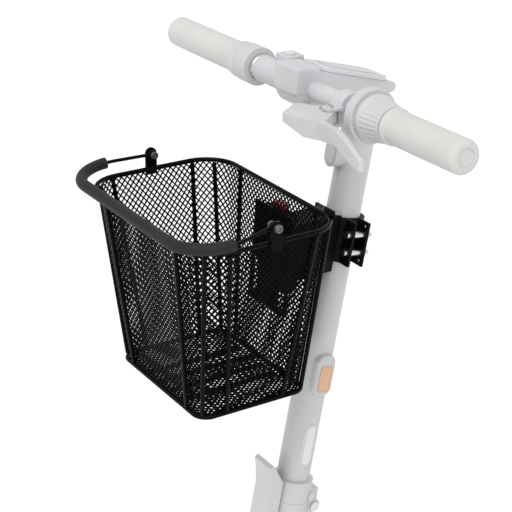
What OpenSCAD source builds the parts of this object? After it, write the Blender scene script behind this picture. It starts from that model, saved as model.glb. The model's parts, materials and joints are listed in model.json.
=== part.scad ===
// Electric kick scooter with a lift-off wire basket on the front of its stem.
// Frame: +X is the rider's left, -Y is forward, +Z is up, the ground is z = 0.

/* [Overall] */
// Height of the handlebar's centre above the ground
bar_height = 900; // [840:1:1080]
// Width over the ends of the two grips
bar_w = 560; // [520:1:680]
// Distance between the two axles
wheel_base = 830; // [800:1:1000]
// Angle by which the steering axis leans back, in degrees
rake = 11.34; // [9:0.01:14]
// Distance of the handlebar ahead of the steering axis, square to the axis
bar_reach = 85.5; // [80:0.5:100]

/* [Wheels] */
// Outer diameter of both tyres
tyre_d = 216; // [180:1:220]
// Width of both tyres
tyre_w = 52; // [44:1:56]
// Height of the tyre from the rim seat to the tread
tyre_h = 40; // [34:1:44]
// Width of the flat running band of the tread
tread_flat = 25; // [10:1:28]
// Diameter of both axles
axle_d = 12; // [10:1:14]
// Distance of the front axle ahead of the steering axis
fork_offset = 25; // [15:1:30]
// Free space between a tyre and its fender
fender_gap = 5; // [4:0.5:10]
// Thickness of both fenders
fender_t = 3; // [2:0.5:4]

/* [Deck] */
// Width of the deck
deck_w = 150; // [130:1:190]
// Height of the deck's tray
deck_h = 50; // [44:1:70]
// Free height under the deck
deck_clear = 92; // [75:1:100]
// Wall of the deck's tray
deck_wall = 4; // [3:0.5:6]
// Thickness of the cover over the tray
cover_t = 4; // [3:0.5:6]
// Thickness of the rubber mat
mat_t = 3; // [2:0.5:4]
// Sideways distance of the kickstand's foot from the middle
kick_reach = 112; // [105:1:140]

/* [Stem] */
// Outer diameter of the stem tube
stem_d = 40; // [34:1:46]
// Wall of the stem tube
stem_wall = 3; // [2:0.5:5]
// Diameter of the fork's steerer
steerer_d = 30; // [26:1:32]
// Height of the head tube along the steering axis
head_tube_l = 88; // [70:1:100]
// Height of the folding base along the steering axis
base_h = 53.5; // [42:0.5:60]
// Diameter of the folding hinge's pin
fold_pin_d = 8; // [6:1:10]

/* [Handlebar] */
// Diameter of the handlebar tube
bar_d = 22.2; // [20:0.1:25.4]
// Diameter of the two grips
grip_d = 36.2; // [33:0.1:42]
// Length of the left grip
left_grip_l = 115; // [105:1:140]
// Length of the right grip
right_grip_l = 150; // [95:1:160]
// Outer diameter of the throttle's ring
throttle_d = 44.6; // [40:0.1:50]
// Diameter of the head around the handlebar
head_d = 44.6; // [42:0.1:54]
// Diameter of the bell's turning ring
bell_d = 51.2; // [46:0.1:54]
// Diameter of the bell's fixed flange
bell_flange_d = 58.8; // [54:0.1:64]

/* [Basket] */
// Width of the basket at the middle of its rim wire
rim_w = 262; // [220:1:320]
// Depth of the basket at the middle of its rim wire
rim_l = 173; // [150:1:220]
// Width of the basket at its base wire
base_w = 182; // [160:1:210]
// Depth of the basket at its base wire
base_l = 134; // [115:1:140]
// Height of the basket from base wire to rim wire
basket_h = 204; // [180:1:250]
// Distance of the rim below the handlebar's centre
basket_drop = 111.5; // [100:0.5:140]
// Distance of the rim's rear wire from the stem's axis at the clamp
basket_gap = 83.5; // [78:0.5:110]
// Diameter of the rim, base and rib wires
wire_d = 5; // [4:0.5:6]
// Thickness of the expanded-metal wall
wall_t = 1.6; // [1:0.1:2]
// Diameter of the carrying handle's wire
handle_d = 4; // [3:0.5:5]
// Diameter of the carrying handle's foam sleeve
foam_d = 13; // [10:0.5:16]
// Distance of the handle's front run from its pivots
handle_reach = 102; // [90:1:110]

/* [Stem clamp] */
// Distance of the clamp's middle below the handlebar's centre
clamp_drop = 184.5; // [175:0.5:200]
// Height of the clamp along the stem
clamp_h = 52; // [46:1:60]
// Wall of the two clamp halves
clamp_wall = 3.5; // [2.5:0.5:5]
// Thickness of the rubber liner between stem and clamp
liner_t = 2; // [1:0.5:3]
// Diameter of the four clamp bolts
clamp_bolt_d = 5; // [4:1:6]
// Diameter of the spare accessory holes in the clamp's rear flanges
spare_hole_d = 4.5; // [3:0.5:5]

/* [Fits] */
// Radial clearance of a running fit
run_fit = 0.05; // [0.02:0.01:0.1]
// Free gap between pieces that move past each other
gap = 0.3; // [0.3:0.1:0.6]

/* [Hidden] */
$fn = 64;
eps = 0.1;
part_gap = 0.1;

// Places along the steering axis, measured from the ground, and the two axles
rake_sin = sin(rake);
rake_cos = cos(rake);
tyre_r = tyre_d / 2;
stem_r = stem_d / 2;
bar_s = (bar_height - bar_reach * rake_sin) / rake_cos;
bar_rel = bar_s * rake_sin - bar_reach * rake_cos;
axle_s = (tyre_r - fork_offset * rake_sin) / rake_cos;
front_axle_rel = axle_s * rake_sin - fork_offset * rake_cos;
rear_axle_rel = front_axle_rel + wheel_base;
fender_r = tyre_r + fender_gap;
fender_out = fender_r + fender_t;

// The basket, measured from the handlebar's centre
function axis_y(z) = bar_reach / rake_cos + z * tan(rake);
function stem_s(drop) = (bar_height - drop) / rake_cos;
rim_y = axis_y(-clamp_drop) - basket_gap - rim_l / 2;
rim_z = -basket_drop;
base_z = rim_z - basket_h;
handle_rise = 17;
handle_tilt = 4.3;
handle_y = rim_y;
handle_z = rim_z + handle_rise;
front_reach = -handle_y + handle_reach + foam_d / 2;

// The origin is under the middle of the whole scooter
front_rel = bar_rel - front_reach;
rear_rel = rear_axle_rel + fender_out;
steer_y = -(front_rel + rear_rel) / 2;
bar_y = steer_y + bar_rel;
rear_axle_y = steer_y + rear_axle_rel;

// Head tube, bearings and folding base
crown_gap = 16;
crown_h = 24;
crown_s = axle_s + tyre_r + crown_gap;
tube_s = crown_s + crown_h + gap;
tube_top_s = tube_s + head_tube_l;
base_s = tube_top_s + gap;
fold_s = base_s + base_h;
head_tube_d = steerer_d + 16;
bearing_t = 4;
bearing_h = 9;
foot_d = stem_d + 10;
foot_h = 27;
foot_floor = 4;
hinge_n = foot_d / 2 + 3;
hinge_s = fold_s - 9.5;
hinge_r = fold_pin_d / 2 + 4.5;
hinge_lug_w = 16;
hinge_ear_w = 8;
lever_n = -(foot_d / 2 + 6);
lever_s = fold_s - 24;
lever_w = 36;
lever_lug_w = 14;
lever_pin_d = 6;

// Deck
deck_front = steer_y + front_axle_rel + tyre_r + 22;
deck_rear = rear_axle_y - tyre_r - 25;
deck_l = deck_rear - deck_front;
deck_top = deck_clear + deck_h;
deck_round = 12;
mat_inset = 12;
mat_rear_inset = 60;
cover_shift = 30;
cover_end = 3;
cover_l = deck_l - 2 * (cover_shift + cover_end);
bay_w = deck_w - 2 * deck_wall - 8;
bay_l = deck_l - 100;
fork_in = tyre_w / 2 + 7;
leg_t = 10;
crown_back = 16;
leg_top = 20;
crown_swing = norm([fork_in + leg_t, crown_back]);
drop_t = 6;
kick_y = deck_front + deck_l * 0.3;
kick_z = deck_clear + 16;
kick_pin_d = 10;
kick_hub_d = 26;
kick_hub_w = 10;
kick_base_w = 12;
foot_pad = [34, 26, 8];

// Handlebar and controls, measured along the bar from its centre
bar_half = bar_w / 2;
head_half = 22;
perch_x = 85;
perch_w = 18;
lever_pivot = [perch_x + 6, -28];
lever_hub_d = 15;
lever_hub_h = 14;
lever_mid_z = -5;
lever_bore_d = 5;
hub_d = bar_d + 8;
grip_gap = 2;
left_grip_x = bar_half - left_grip_l;
right_grip_x = -(bar_half - right_grip_l);
bell_x = left_grip_x - 47;
bell_flange = 12;
bell_l = 33;
throttle_x = right_grip_x + grip_gap;
paddle_w = 12;
throttle_l = 26;
box_x = -53;
box_w = 28;
sleeve_d = bar_d + 8;
button_d = 12;
power_travel = 1.5;

// Dashboard: the tangent plane over the bar clamp and the tail
tail_y = axis_y(0) + 16;
tail_z = -12;
tail_d = 12;
tail_half = 20.5;
head_run = norm([tail_y, tail_z]);
dash_slope = acos((head_d - tail_d) / 2 / head_run) + atan2(tail_z, tail_y) - 90;
dash_y = -head_d / 2 * sin(dash_slope);
dash_z = head_d / 2 * cos(dash_slope);
dash_w = 46;
dash_l = 91;
dash_t = 5;
dash_start = 4;
screen_w = 34;
screen_l = 66;
screen_t = 2;

// Clamp, bracket and back plate, measured from the handlebar's centre
clamp_s = stem_s(clamp_drop);
clamp_in = stem_r + liner_t;
clamp_out = clamp_in + clamp_wall;
flange_out = clamp_out + 15;
flange_t = 3;
flange_gap = 16;
bolt_x = clamp_out + 8;
bolt_pitch = 21;
spare_pitch = 41;
nut_d = 9;
plate_back = rim_y + rim_l / 2 + 12;
plate_top = -clamp_drop + 49;
plate_h = 116;
plate_w = 76;
plate_t = 3;
rail_w = 41;
tongue_w = 30;
tongue_t = 5;
neck_w = 18;
neck_t = 4;
tongue_top = -clamp_drop + 20;
tongue_h = 62;
adapter_w = 40;
adapter_h = 66;
button_w = 20;
button_t = 10;
button_h = 22;
button_rise = 6;
release_travel = 3;
window_w = 12;
window_h = 43;
window_x = 27.5;

// Basket details
rim_corner = 40;
base_corner = 16;
mesh_in = wire_d / 2 + part_gap;
rib_trim = 0.6;
rib_x_top = 79;
rib_x_low = 61;
rib_y_top = 52;
rib_y_low = 35;
strap_pitch = 25;
strap_w = 9;
strap_t = 1.5;
floor_step = 0.4;
ear_w = 14;
ear_t = 2.5;
ear_low = 8;
pivot_d = 4;
ear_x = rim_w / 2 + wire_d / 2 - 0.2;
eye_w = 4;
eye_x = ear_x - 1 - eye_w / 2;
handle_corner = 48;
handle_splay = 14;

// ---- Helpers ----

// Frame of the steering axis: z runs up the stem from the ground, y runs back
module on_steer() translate([0, steer_y, 0]) rotate([-rake, 0, 0]) children();

// Frame at the handlebar's centre, level with the ground
module on_bar() translate([0, bar_y, bar_height]) children();

// Frame of the sloping dashboard
module on_dash() on_bar() translate([0, dash_y, dash_z]) rotate([dash_slope, 0, 0]) children();

// Frame of the carrying handle at its pivots: y runs back along the handle
module on_handle() on_bar() translate([0, handle_y, handle_z]) rotate([handle_tilt, 0, 0]) children();

// Turns a revolved shape so that its axis is X, with 0 degrees to the rear and 90 degrees up
module to_x_axis() rotate([90, 0, 90]) children();

// Cylinder along X from x0 to x1
module bar_x(x0, x1, d) translate([x0, 0, 0]) rotate([0, 90, 0]) cylinder(h = x1 - x0, d = d);

// Cylinder along Y from y0 to y1
module bar_along_y(y0, y1, d) translate([0, y0, 0]) rotate([-90, 0, 0]) cylinder(h = y1 - y0, d = d);

// Round rod between two points, with its ends trimmed back
module rod(a, b, d, trim = 0) {
  run = b - a;
  len = norm(run);
  translate(a)
    rotate([0, acos(run[2] / len), atan2(run[1], run[0])])
      translate([0, 0, trim]) cylinder(h = len - 2 * trim, d = d);
}

// Rectangle with round corners, centred, built from true arcs
module round_rect(w, l, r) {
  square([w - 2 * r, l], center = true);
  square([w, l - 2 * r], center = true);
  for (x = [-1, 1], y = [-1, 1])
    translate([x * (w / 2 - r), y * (l / 2 - r)]) circle(r);
}

// Closed wire along a rectangle with round corners
module wire_loop(w, l, r, d) {
  for (side = [-1, 1]) {
    translate([0, side * l / 2, 0]) bar_x(-w / 2 + r, w / 2 - r, d);
    translate([side * w / 2, 0, 0]) bar_along_y(-l / 2 + r, l / 2 - r, d);
  }
  for (turn = [0 : 3]) {
    x = (turn == 0 || turn == 3) ? 1 : -1;
    y = turn < 2 ? 1 : -1;
    translate([x * (w / 2 - r), y * (l / 2 - r), 0])
      rotate([0, 0, turn * 90]) rotate_extrude(angle = 90) translate([r, 0]) circle(d = d);
  }
}

// Curved band around a wheel, from angle a0 to a1
module wheel_band(r_in, t, w, a0, a1) {
  to_x_axis() rotate([0, 0, a0]) rotate_extrude(angle = a1 - a0)
    translate([r_in, -w / 2]) square([t, w]);
}

// Capsule outline, upright
module capsule(w, h) {
  square([w, h - w], center = true);
  for (side = [-1, 1]) translate([0, side * (h - w) / 2]) circle(d = w);
}

// ---- Deck ----

module deck_frame() {
  neck_top = tube_s + head_tube_l * 0.55;
  color("lightgray") difference() {
    union() {
      translate([0, deck_front, deck_clear + deck_h / 2]) rotate([-90, 0, 0])
        linear_extrude(deck_l) round_rect(deck_w, deck_h, deck_round);
      on_steer() translate([0, 0, tube_s]) cylinder(h = head_tube_l, d = head_tube_d);
      hull() {
        on_steer() translate([0, head_tube_d / 2, neck_top]) bar_x(-18, 18, 52);
        translate([0, deck_front + 34, deck_clear + deck_h / 2 + 8]) bar_x(-30, 30, deck_h - 16);
      }
      hull() {
        on_steer() translate([0, 0, tube_s + 8]) cylinder(h = head_tube_l - 16, d = head_tube_d - 2);
        on_steer() translate([0, head_tube_d / 2, neck_top]) bar_x(-18, 18, 52);
      }
    }
    translate([0, deck_front + deck_l / 2 + cover_shift, deck_clear + deck_wall + deck_h])
      cube([bay_w, bay_l, 2 * deck_h], center = true);
    on_steer() {
      translate([0, 0, crown_s - leg_top]) cylinder(h = tube_s - crown_s + leg_top - eps, r = crown_swing + 1);
      translate([0, 0, tube_s - 40]) cylinder(h = head_tube_l + 80, d = steerer_d + 2);
      for (s = [tube_s - 1, tube_top_s - bearing_h])
        translate([0, 0, s]) cylinder(h = bearing_h + 1, d = steerer_d + 2 * bearing_t);
    }
  }
}

module deck_cover() {
  color("gainsboro") translate([0, deck_front + deck_l / 2 + cover_shift, deck_top])
    linear_extrude(cover_t) round_rect(deck_w - 6, cover_l, deck_round);
}

module deck_mat() {
  color("darkgray") translate([0, deck_front + deck_l / 2 + cover_shift, deck_top + cover_t])
    linear_extrude(mat_t) round_rect(deck_w - 2 * mat_inset, cover_l - mat_rear_inset, deck_round);
}

module battery_pack() {
  color("steelblue") translate([0, deck_front + deck_l / 2 + 60, deck_clear + deck_wall + 19 + part_gap])
    cube([bay_w - 6, bay_l - 90, 38], center = true);
}

module controller() {
  color("silver") translate([0, deck_front + 118, deck_clear + deck_wall + 15 + part_gap])
    cube([86, 62, 30], center = true);
}

module headset_bearings() {
  color("silver") on_steer() for (s = [tube_s, tube_top_s - bearing_h])
    translate([0, 0, s]) difference() {
      cylinder(h = bearing_h, d = steerer_d + 2 * bearing_t);
      translate([0, 0, -1]) cylinder(h = bearing_h + 2, d = steerer_d + 2 * run_fit);
    }
}

module rear_fender() {
  color("lightgray") {
    translate([0, rear_axle_y, tyre_r]) wheel_band(fender_r, fender_t, tyre_w + 9, 0, 148);
    difference() {
      translate([-20, deck_rear - 24, deck_top + cover_t])
        cube([40, 26, 9]);
      translate([0, rear_axle_y, tyre_r]) bar_x(-40, 40, 2 * (fender_r + eps));
    }
    for (side = [-1, 1]) hull() {
      translate([side * 14, deck_rear - 2, deck_top + cover_t + 3]) bar_x(-3, 3, 6);
      translate([side * 14, rear_axle_y, tyre_r]) rotate([148 - 4, 0, 0])
        translate([0, fender_r + 3, 0]) bar_x(-3, 3, 4);
    }
  }
}

module tail_light() {
  color("firebrick") translate([0, rear_axle_y, tyre_r]) rotate([28, 0, 0])
    translate([0, fender_out + part_gap, 0]) rotate([-90, 0, 0])
      linear_extrude(4) round_rect(34, 22, 6);
}

module rear_dropouts() {
  color("lightgray") for (side = [-1, 1]) difference() {
    union() {
      translate([side * (fork_in + drop_t / 2), deck_rear - 40, deck_clear + 8])
        translate([-drop_t / 2, 40 + part_gap, 0]) cube([drop_t, tyre_r + 25, 30]);
      translate([side * (fork_in + drop_t / 2), rear_axle_y, tyre_r])
        bar_x(-drop_t / 2, drop_t / 2, 42);
    }
    translate([0, rear_axle_y, tyre_r]) bar_x(-100, 100, axle_d);
  }
}

module rear_axle() {
  color("silver") translate([0, rear_axle_y, tyre_r]) {
    bar_x(-fork_in - drop_t - 12, fork_in + drop_t + 12, axle_d);
    bar_x(-11, 11, tyre_d - 2 * tyre_h - 34);
    for (side = [-1, 1]) translate([side * (fork_in + drop_t + 4 + part_gap), 0, 0]) {
      bar_x(-4, 4, 20);
    }
  }
}

module deck_screws() {
  count = 4;
  pitch = (cover_l - 40) / (count - 1);
  color("silver") for (side = [-1, 1], i = [0 : count - 1])
    translate([side * (deck_w / 2 - 7.5), deck_rear - cover_end - 20 - i * pitch, deck_top + cover_t])
      cylinder(h = 1.2, d = 6);
}

module charge_port() {
  color("darkgray") translate([deck_w / 2 + part_gap, deck_front + 105, deck_clear + deck_h / 2 + 4])
    bar_x(0, 3, 18);
}

// ---- Kickstand ----

module kickstand_bracket() {
  color("lightgray") translate([deck_w / 2 + part_gap, kick_y, kick_z]) {
    translate([0, -20, -10]) cube([kick_base_w - 2, 40, 22]);
    bar_x(0, kick_base_w - 0.2, 24);
    bar_x(0, kick_base_w + kick_hub_w + 2 * gap, kick_pin_d);
    translate([kick_base_w + kick_hub_w + gap, 0, 0]) bar_x(0, 3, kick_pin_d + 6);
  }
}

module kickstand_leg() {
  hub_x = deck_w / 2 + part_gap + kick_base_w;
  foot = [kick_reach, kick_y - 14, foot_pad[2] - 2];
  color("silver") difference() {
    union() {
      translate([hub_x, kick_y, kick_z]) bar_x(0, kick_hub_w, kick_hub_d);
      rod([hub_x + kick_hub_w / 2, kick_y - 3, kick_z - 8], foot, 10);
      translate([kick_reach, kick_y - 14, 0]) linear_extrude(foot_pad[2])
        round_rect(foot_pad[0], foot_pad[1], 8);
    }
    translate([hub_x - 1, kick_y, kick_z])
      bar_x(0, kick_hub_w + 2, kick_pin_d + 2 * run_fit);
    translate([0, kick_y, kick_z])
      bar_x(hub_x + kick_hub_w, hub_x + kick_hub_w + 4, kick_pin_d + 8);
    translate([0, kick_y, kick_z]) bar_x(deck_w / 2, hub_x, kick_hub_d + 2);
  }
}

// ---- Wheels ----

module tyre() {
  seat_r = tyre_r - tyre_h;
  crown_r = tyre_h * 0.7;
  flat_r = sqrt(crown_r * crown_r - tread_flat * tread_flat / 4);
  to_x_axis() rotate_extrude() intersection() {
    translate([tyre_r - flat_r, 0]) circle(crown_r);
    translate([seat_r, -tyre_w / 2]) square([tyre_h, tyre_w]);
  }
}

module rear_tyre() color("darkgray") translate([0, rear_axle_y, tyre_r]) tyre();

module front_tyre() color("darkgray") on_steer() translate([0, -fork_offset, axle_s]) tyre();

module motor_hub() {
  seat_r = tyre_r - tyre_h;
  color("gainsboro") translate([0, rear_axle_y, tyre_r]) to_x_axis() rotate_extrude() difference() {
    union() {
      translate([axle_d / 2 + run_fit, -26]) square([22, 52]);
      translate([axle_d / 2 + run_fit, -20]) square([seat_r - axle_d / 2 - run_fit, 40]);
    }
    translate([0, -14]) square([seat_r - 8, 28]);
  }
}

module front_rim() {
  seat_r = tyre_r - tyre_h;
  spokes = 5;
  color("gainsboro") on_steer() translate([0, -fork_offset, axle_s]) difference() {
    union() {
      to_x_axis() rotate_extrude() translate([seat_r - 9, -19]) square([9, 38]);
      bar_x(-28, 28, axle_d + 26);
      for (i = [0 : spokes - 1]) rotate([i * 360 / spokes, 0, 0])
        translate([-9, -9, axle_d / 2 + 9]) cube([18, 18, seat_r - axle_d / 2 - 14]);
    }
    bar_x(-40, 40, axle_d + 4);
    for (side = [-1, 1]) translate([side * 24, 0, 0]) bar_x(-4, 4, axle_d + 16);
  }
}

module front_bearings() {
  color("silver") on_steer() translate([0, -fork_offset, axle_s])
    for (side = [-1, 1]) translate([side * 24, 0, 0]) difference() {
      bar_x(-4, 4, axle_d + 16);
      bar_x(-5, 5, axle_d + 2 * run_fit);
    }
}

// ---- Fork and folding base ----

module fork() {
  color("lightgray") on_steer() difference() {
    union() {
      translate([0, 0, crown_s]) cylinder(h = fold_s - 8 - crown_s, d = steerer_d);
      translate([0, 0, crown_s]) cylinder(h = crown_h, d = head_tube_d + 4);
      translate([-fork_in - leg_t, -20, crown_s]) cube([2 * (fork_in + leg_t), 20 + crown_back, crown_h - 4]);
      for (side = [-1, 1]) hull() {
        translate([side * (fork_in + leg_t / 2), -2, crown_s + 8]) bar_x(-leg_t / 2, leg_t / 2, 32);
        translate([side * (fork_in + leg_t / 2), -fork_offset, axle_s]) bar_x(-leg_t / 2, leg_t / 2, 34);
      }
    }
    translate([0, -fork_offset, axle_s]) bar_x(-100, 100, axle_d);
  }
}

module front_fender() {
  color("lightgray") on_steer() {
    translate([0, -fork_offset, axle_s]) wheel_band(fender_r, fender_t, tyre_w + 9, 62, 168);
    difference() {
      translate([-14, -fork_offset - 6, crown_s - crown_gap + fender_gap + 1])
        cube([28, 26, crown_gap - fender_gap - 1 - part_gap]);
      translate([0, -fork_offset, axle_s]) bar_x(-30, 30, 2 * (fender_r + 1));
    }
  }
}

module front_axle() {
  color("silver") on_steer() translate([0, -fork_offset, axle_s]) {
    bar_x(-fork_in - leg_t - 8, fork_in + leg_t + 8, axle_d);
    for (side = [-1, 1]) translate([side * (fork_in + leg_t + 4 + part_gap), 0, 0]) bar_x(-4, 4, 20);
  }
}

module fold_base() {
  top = fold_s - gap;
  color("gainsboro") on_steer() difference() {
    union() {
      translate([0, 0, base_s]) cylinder(h = top - base_s, d = foot_d);
      translate([-hinge_lug_w / 2 - hinge_ear_w, 0, hinge_s - hinge_r])
        cube([hinge_lug_w + 2 * hinge_ear_w, hinge_n, 2 * hinge_r]);
      translate([0, hinge_n, hinge_s])
        bar_x(-hinge_lug_w / 2 - hinge_ear_w, hinge_lug_w / 2 + hinge_ear_w, 2 * hinge_r);
      translate([0, lever_n, lever_s]) bar_x(-lever_lug_w / 2, lever_lug_w / 2, lever_pin_d + 6);
      translate([-lever_lug_w / 2, lever_n, lever_s - (lever_pin_d + 6) / 2])
        cube([lever_lug_w, -lever_n, lever_pin_d + 6]);
      translate([0, lever_n, lever_s]) bar_x(-lever_w / 2 - 2, lever_w / 2 + 2, lever_pin_d);
    }
    translate([0, 0, base_s - 1]) cylinder(h = fold_s - base_s, d = steerer_d);
    translate([-hinge_lug_w / 2 - gap, hinge_n - hinge_r - 1, hinge_s - hinge_r - 1])
      cube([hinge_lug_w + 2 * gap, 2 * hinge_r + 10, 2 * hinge_r + 20]);
    translate([0, hinge_n, hinge_s]) bar_x(-40, 40, fold_pin_d);
  }
}

module fold_pin() {
  half = hinge_lug_w / 2 + hinge_ear_w;
  color("silver") on_steer() translate([0, hinge_n, hinge_s]) {
    bar_x(-half, half, fold_pin_d);
    for (side = [-1, 1]) translate([side * (half + 1.5), 0, 0]) bar_x(-1.5, 1.5, fold_pin_d + 4);
  }
}

module stem_foot() {
  color("gainsboro") on_steer() difference() {
    union() {
      translate([0, 0, fold_s]) cylinder(h = foot_h, d = foot_d);
      translate([-hinge_lug_w / 2, 0, fold_s]) cube([hinge_lug_w, hinge_n + hinge_r, 10]);
      translate([-hinge_lug_w / 2, hinge_n - hinge_r, hinge_s]) cube([hinge_lug_w, 2 * hinge_r, 12]);
      translate([0, hinge_n, hinge_s]) bar_x(-hinge_lug_w / 2, hinge_lug_w / 2, 2 * hinge_r);
      translate([stem_r - 2, 16, fold_s + 7]) bar_x(0, 6, 9);
    }
    translate([0, 0, fold_s + foot_floor]) cylinder(h = foot_h, d = stem_d);
    translate([0, hinge_n, hinge_s]) bar_x(-20, 20, fold_pin_d + 2 * run_fit);
  }
}

module fold_lever() {
  back = -foot_d / 2 - 2 * gap;
  front = lever_n - 9;
  round_d = 2 * (back - lever_n);
  color("gainsboro") on_steer() difference() {
    union() {
      translate([0, lever_n, lever_s]) bar_x(-lever_w / 2, lever_w / 2, round_d);
      rotate([90, 0, 90]) translate([0, 0, -lever_w / 2]) linear_extrude(lever_w) polygon([
        [back, lever_s], [lever_n, lever_s - round_d / 2], [front, lever_s - 3], [front, lever_s + 40],
        [front - 4, lever_s + 60], [front - 8, lever_s + 72], [front - 4, lever_s + 76],
        [back - 8, lever_s + 63], [back, lever_s + 52]
      ]);
    }
    translate([-lever_lug_w / 2 - gap, lever_n - (lever_pin_d + 6) / 2 - gap, lever_s - 20])
      cube([lever_lug_w + 2 * gap, 40, 20 + (lever_pin_d + 6) / 2 + gap]);
    translate([0, lever_n, lever_s]) bar_x(-lever_w, lever_w, lever_pin_d + 2 * run_fit);
  }
}

// ---- Stem and head ----

stem_top_s = stem_s(-tail_z + 4);

module stem_tube() {
  color("lightgray") on_steer() translate([0, 0, fold_s + foot_floor]) difference() {
    cylinder(h = stem_top_s - fold_s - foot_floor, d = stem_d);
    translate([0, 0, -1]) cylinder(h = stem_top_s - fold_s, d = stem_d - 2 * stem_wall);
  }
}

module head_housing() {
  collar_s = stem_s(head_d / 2 + 20);
  color("gainsboro") difference() {
    union() {
      on_bar() hull() {
        bar_x(-head_half, head_half, head_d);
        translate([0, tail_y, tail_z]) bar_x(-tail_half, tail_half, tail_d);
      }
      on_steer() translate([0, 0, collar_s]) cylinder(h = stem_top_s - collar_s, d = stem_d + 6);
    }
    on_bar() bar_x(-100, 100, bar_d);
    on_steer() translate([0, 0, collar_s - 1]) cylinder(h = stem_top_s - collar_s + 1, d = stem_d);
  }
}

module dash_cover() {
  color("whitesmoke") on_dash() translate([0, dash_start + dash_l / 2, part_gap]) difference() {
    linear_extrude(dash_t) round_rect(dash_w, dash_l, 10);
    translate([0, 0, dash_t - screen_t]) linear_extrude(screen_t + 1) round_rect(screen_w, screen_l, 6);
  }
}

module dash_screen() {
  color("gainsboro") on_dash() translate([0, dash_start + dash_l / 2, part_gap + dash_t - screen_t])
    linear_extrude(screen_t + 0.4) round_rect(screen_w - 0.4, screen_l - 0.4, 5.8);
}

module handlebar_tube() {
  color("gainsboro") on_bar() difference() {
    bar_x(-bar_half + 6, bar_half - 6, bar_d);
    bar_x(-bar_half, bar_half, bar_d - 4);
  }
}

// Grip along +X from its inner end, with a flange and a round outer end
module grip(len) {
  end_r = 8;
  to_x_axis() rotate_extrude() difference() {
    union() {
      square([grip_d / 2, len - end_r]);
      square([grip_d / 2 + 1.8, 5]);
      square([grip_d / 2 - end_r, len]);
      translate([grip_d / 2 - end_r, len - end_r]) circle(end_r);
    }
    translate([0, -1]) square([bar_d / 2, len - 5]);
    translate([-100, -1]) square([100, len + 2]);
  }
}

module left_grip() color("linen") on_bar() translate([left_grip_x, 0, 0]) grip(left_grip_l);

module right_grip() {
  color("linen") on_bar() mirror([1, 0, 0]) translate([-right_grip_x, 0, 0]) grip(right_grip_l);
}

module headlight_housing() {
  s = stem_s(87.5);
  color("silver") on_steer() difference() {
    translate([0, -stem_r - 13, s]) rotate([-90, 0, 0]) linear_extrude(stem_r + 5) capsule(22, 36);
    translate([0, 0, s - 40]) cylinder(h = 80, d = stem_d);
    translate([0, -stem_r - 14, s]) rotate([-90, 0, 0]) linear_extrude(3) capsule(17, 31);
  }
}

module headlight_lens() {
  color("white") on_steer() translate([0, -stem_r - 13.5, stem_s(87.5)]) rotate([-90, 0, 0])
    linear_extrude(2.5) capsule(16.8, 30.8);
}

module side_reflectors() {
  s = stem_s(348.5);
  color("navajowhite") on_steer() for (side = [-1, 1]) difference() {
    union() {
      translate([side * (stem_r - 3), 0, s]) rotate([90, 0, side * 90]) linear_extrude(8)
        round_rect(25, 52, 7);
      translate([side * stem_r, 0, s]) rotate([90, 0, side * 90]) linear_extrude(6.5)
        round_rect(18, 34, 3);
    }
    translate([0, 0, s - 40]) cylinder(h = 80, d = stem_d);
  }
}

module label_plates() {
  s = stem_s(438.5);
  color("gainsboro") on_steer() for (side = [-1, 1]) difference() {
    intersection() {
      translate([side * (stem_r - 6), 0, s]) rotate([90, 0, side * 90]) linear_extrude(10) capsule(17, 54);
      translate([0, 0, s - 40]) cylinder(h = 80, d = stem_d + 1.6);
    }
    translate([0, 0, s - 41]) cylinder(h = 82, d = stem_d);
  }
}

// ---- Controls on the handlebar ----

module throttle_housing() {
  color("lightgray") on_bar() difference() {
    union() {
      bar_x(throttle_x, box_x - box_w / 2 - part_gap, hub_d);
      bar_x(throttle_x + paddle_w + 2 * gap, throttle_x + paddle_w + throttle_l, throttle_d);
    }
    bar_x(-bar_half, 0, bar_d);
  }
}

module throttle_paddle() {
  tab = 30;
  color("gainsboro") on_bar() difference() {
    union() {
      bar_x(throttle_x + gap, throttle_x + paddle_w, throttle_d - 2);
      rotate([-35, 0, 0]) translate([throttle_x + gap, hub_d / 2, -3]) cube([paddle_w - gap, tab, 6]);
    }
    bar_x(throttle_x - 1, throttle_x + paddle_w + 20, hub_d + 2 * run_fit);
  }
}

module switch_box() {
  color("lightgray") on_bar() difference() {
    union() {
      bar_x(box_x - box_w / 2, -head_half - part_gap, sleeve_d);
      translate([box_x, 16, 4]) linear_extrude(17) round_rect(box_w, 24, 5);
      translate([box_x, 10, 4]) linear_extrude(10) square([box_w - 4, 20], center = true);
    }
    bar_x(-bar_half, 0, bar_d);
    translate([box_x, 16, 13]) cylinder(h = 20, d = button_d + 2 * gap);
  }
}

module power_button() {
  color("white") on_bar() translate([box_x, 16, 13 + power_travel + gap])
    cylinder(h = 8, d = button_d);
}

module brake_perch() {
  ear_t_z = 3;
  low = lever_mid_z - lever_hub_h / 2 - gap - ear_t_z;
  high = lever_mid_z + lever_hub_h / 2 + gap;
  color("gainsboro") on_bar() difference() {
    union() {
      bar_x(perch_x - perch_w / 2, perch_x + perch_w / 2, bar_d + 10);
      translate([perch_x - perch_w / 2, -19, low]) cube([perch_w, 11, high + ear_t_z - low]);
      for (z = [low, high]) translate([lever_pivot[0], lever_pivot[1], z]) {
        cylinder(h = ear_t_z, d = lever_hub_d + 1);
        translate([-perch_w / 2 + 1, 0, 0]) cube([perch_w, 12, ear_t_z]);
      }
      translate([lever_pivot[0], lever_pivot[1], low]) cylinder(h = high + ear_t_z - low, d = lever_bore_d);
    }
    bar_x(0, bar_half, bar_d);
  }
}

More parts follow.
